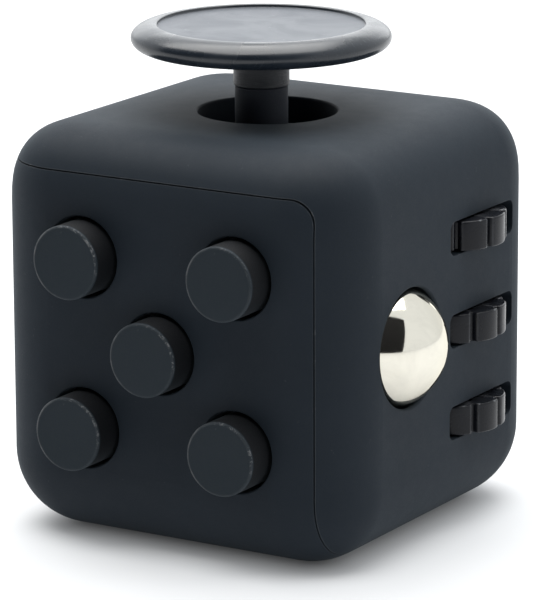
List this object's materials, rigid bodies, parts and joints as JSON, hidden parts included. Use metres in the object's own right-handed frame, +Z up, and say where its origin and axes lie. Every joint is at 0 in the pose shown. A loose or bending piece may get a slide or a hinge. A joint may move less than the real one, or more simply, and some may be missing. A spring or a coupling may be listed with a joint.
{
  "type": "fidget cube",
  "caption": "Palm-sized rounded cube desk toy with push buttons, a sliding joystick, a roller ball, thumb gears, a dial and a rocker.",
  "frame": {"origin": "centre of the cube's underside, on the plane that it stands on", "axes": "+Z up through the joystick face; -Y out of the button face; +X out of the ball and gear face; -X out of the dial face; +Y out of the rocker face"},
  "size_m": [0.0382, 0.0375, 0.04],
  "materials": {
    "shell": "soft-touch rubberised black plastic, matt with a faint sheen",
    "button": "soft-touch black plastic, edges slightly worn",
    "joystick_cap": "glossy black plastic",
    "joystick_stem": "matt black plastic",
    "gear": "glossy black moulded plastic",
    "dial": "glossy black plastic",
    "rocker": "glossy black plastic",
    "ball": "polished chrome",
    "steel": "bright steel",
    "spring_steel": "spring steel",
    "inner_frame": "plain dark grey moulded plastic",
    "slip_plastic": "natural low-friction plastic",
    "silicone": "grey silicone"
  },
  "bodies": {
    "root": {"ball_bridge": "inner_frame", "ball_bridge_screw_1": "steel", "ball_bridge_screw_2": "steel", "ball_spring": "spring_steel", "button_plate": "inner_frame", "button_plate_screw_1": "steel", "button_plate_screw_2": "steel", "button_plate_screw_3": "steel", "click_dome_bottom_right": "spring_steel", "click_dome_centre": "spring_steel", "click_dome_top_left": "spring_steel", "gear_axle": "steel", "gear_bracket": "inner_frame", "gear_bracket_screw_1": "steel", "gear_bracket_screw_2": "steel", "glide_retainer": "inner_frame", "glide_retainer_screw_1": "steel", "glide_retainer_screw_2": "steel", "glide_retainer_screw_3": "steel", "glide_retainer_screw_4": "steel", "rocker_frame": "inner_frame", "rocker_frame_screw_1": "steel", "rocker_frame_screw_2": "steel", "rocker_leaf_spring": "spring_steel", "rocker_pin": "steel", "shell_front": "shell", "shell_rear": "shell", "silent_pad_bottom_left": "silicone", "silent_pad_top_right": "silicone"},
    "button_top_left": {"button_top_left": "button"},
    "button_top_right": {"button_top_right": "button"},
    "button_centre": {"button_centre": "button"},
    "button_bottom_left": {"button_bottom_left": "button"},
    "button_bottom_right": {"button_bottom_right": "button"},
    "glide_washer": {"glide_washer": "slip_plastic"},
    "joystick": {"joystick_cap": "joystick_cap", "joystick_stem": "joystick_stem"},
    "ball_carrier": {"ball_carrier": "inner_frame"},
    "ball_seat": {"ball_seat": "slip_plastic"},
    "ball": {"roller_ball": "ball"},
    "gear_upper": {"thumb_gear_upper": "gear"},
    "gear_middle": {"thumb_gear_middle": "gear"},
    "gear_lower": {"thumb_gear_lower": "gear"},
    "rocker": {"rocker": "rocker"},
    "dial": {"spin_dial": "dial", "dial_washer": "steel", "dial_screw_1": "steel"}
  },
  "joints": [
    {"name": "press_top_left", "type": "slide", "parent": "root", "child": "button_top_left", "axis": [0, 1, 0], "range_m": [0, 0.001], "stiffness_N_per_m": 1200, "springref_m": -0.0003, "deforming": ["click_dome_top_left"]},
    {"name": "press_top_right", "type": "slide", "parent": "root", "child": "button_top_right", "axis": [0, 1, 0], "range_m": [0, 0.001], "stiffness_N_per_m": 900, "springref_m": -0.0003, "deforming": ["silent_pad_top_right"]},
    {"name": "press_centre", "type": "slide", "parent": "root", "child": "button_centre", "axis": [0, 1, 0], "range_m": [0, 0.001], "stiffness_N_per_m": 1200, "springref_m": -0.0003, "deforming": ["click_dome_centre"]},
    {"name": "press_bottom_left", "type": "slide", "parent": "root", "child": "button_bottom_left", "axis": [0, 1, 0], "range_m": [0, 0.001], "stiffness_N_per_m": 900, "springref_m": -0.0003, "deforming": ["silent_pad_bottom_left"]},
    {"name": "press_bottom_right", "type": "slide", "parent": "root", "child": "button_bottom_right", "axis": [0, 1, 0], "range_m": [0, 0.001], "stiffness_N_per_m": 1200, "springref_m": -0.0003, "deforming": ["click_dome_bottom_right"]},
    {"name": "glide_x", "type": "slide", "parent": "root", "child": "glide_washer", "axis": [1, 0, 0], "range_m": [-0.00165, 0.00275]},
    {"name": "glide_y", "type": "slide", "parent": "glide_washer", "child": "joystick", "axis": [0, 1, 0], "range_m": [-0.0022, 0.0022]},
    {"name": "ball_click", "type": "slide", "parent": "root", "child": "ball_carrier", "axis": [-1, 0, 0], "range_m": [0, 0.0005], "stiffness_N_per_m": 2200, "springref_m": -0.0002, "deforming": ["ball_spring"]},
    {"name": "ball_spin", "type": "hinge", "parent": "ball_carrier", "child": "ball_seat", "pos_m": [0.014, -0.0058, 0.0168], "axis": [1, 0, 0], "continuous": true},
    {"name": "ball_roll", "type": "hinge", "parent": "ball_seat", "child": "ball", "pos_m": [0.014, -0.0058, 0.0168], "axis": [0, 0, 1], "continuous": true},
    {"name": "gear_upper_turn", "type": "hinge", "parent": "root", "child": "gear_upper", "pos_m": [0.01315, 0.00565, 0.02408], "axis": [0, 0, 1], "continuous": true},
    {"name": "gear_middle_turn", "type": "hinge", "parent": "root", "child": "gear_middle", "pos_m": [0.01315, 0.00565, 0.01655], "axis": [0, 0, 1], "continuous": true},
    {"name": "gear_lower_turn", "type": "hinge", "parent": "root", "child": "gear_lower", "pos_m": [0.01315, 0.00565, 0.00902], "axis": [0, 0, 1], "continuous": true},
    {"name": "rocker_flip", "type": "hinge", "parent": "root", "child": "rocker", "pos_m": [0, 0.013, 0.0165], "axis": [1, 0, 0], "range_deg": [0, 20], "deforming": ["rocker_leaf_spring"]},
    {"name": "dial_spin", "type": "hinge", "parent": "root", "child": "dial", "pos_m": [-0.0155, 0, 0.0165], "axis": [1, 0, 0], "continuous": true}
  ]
}
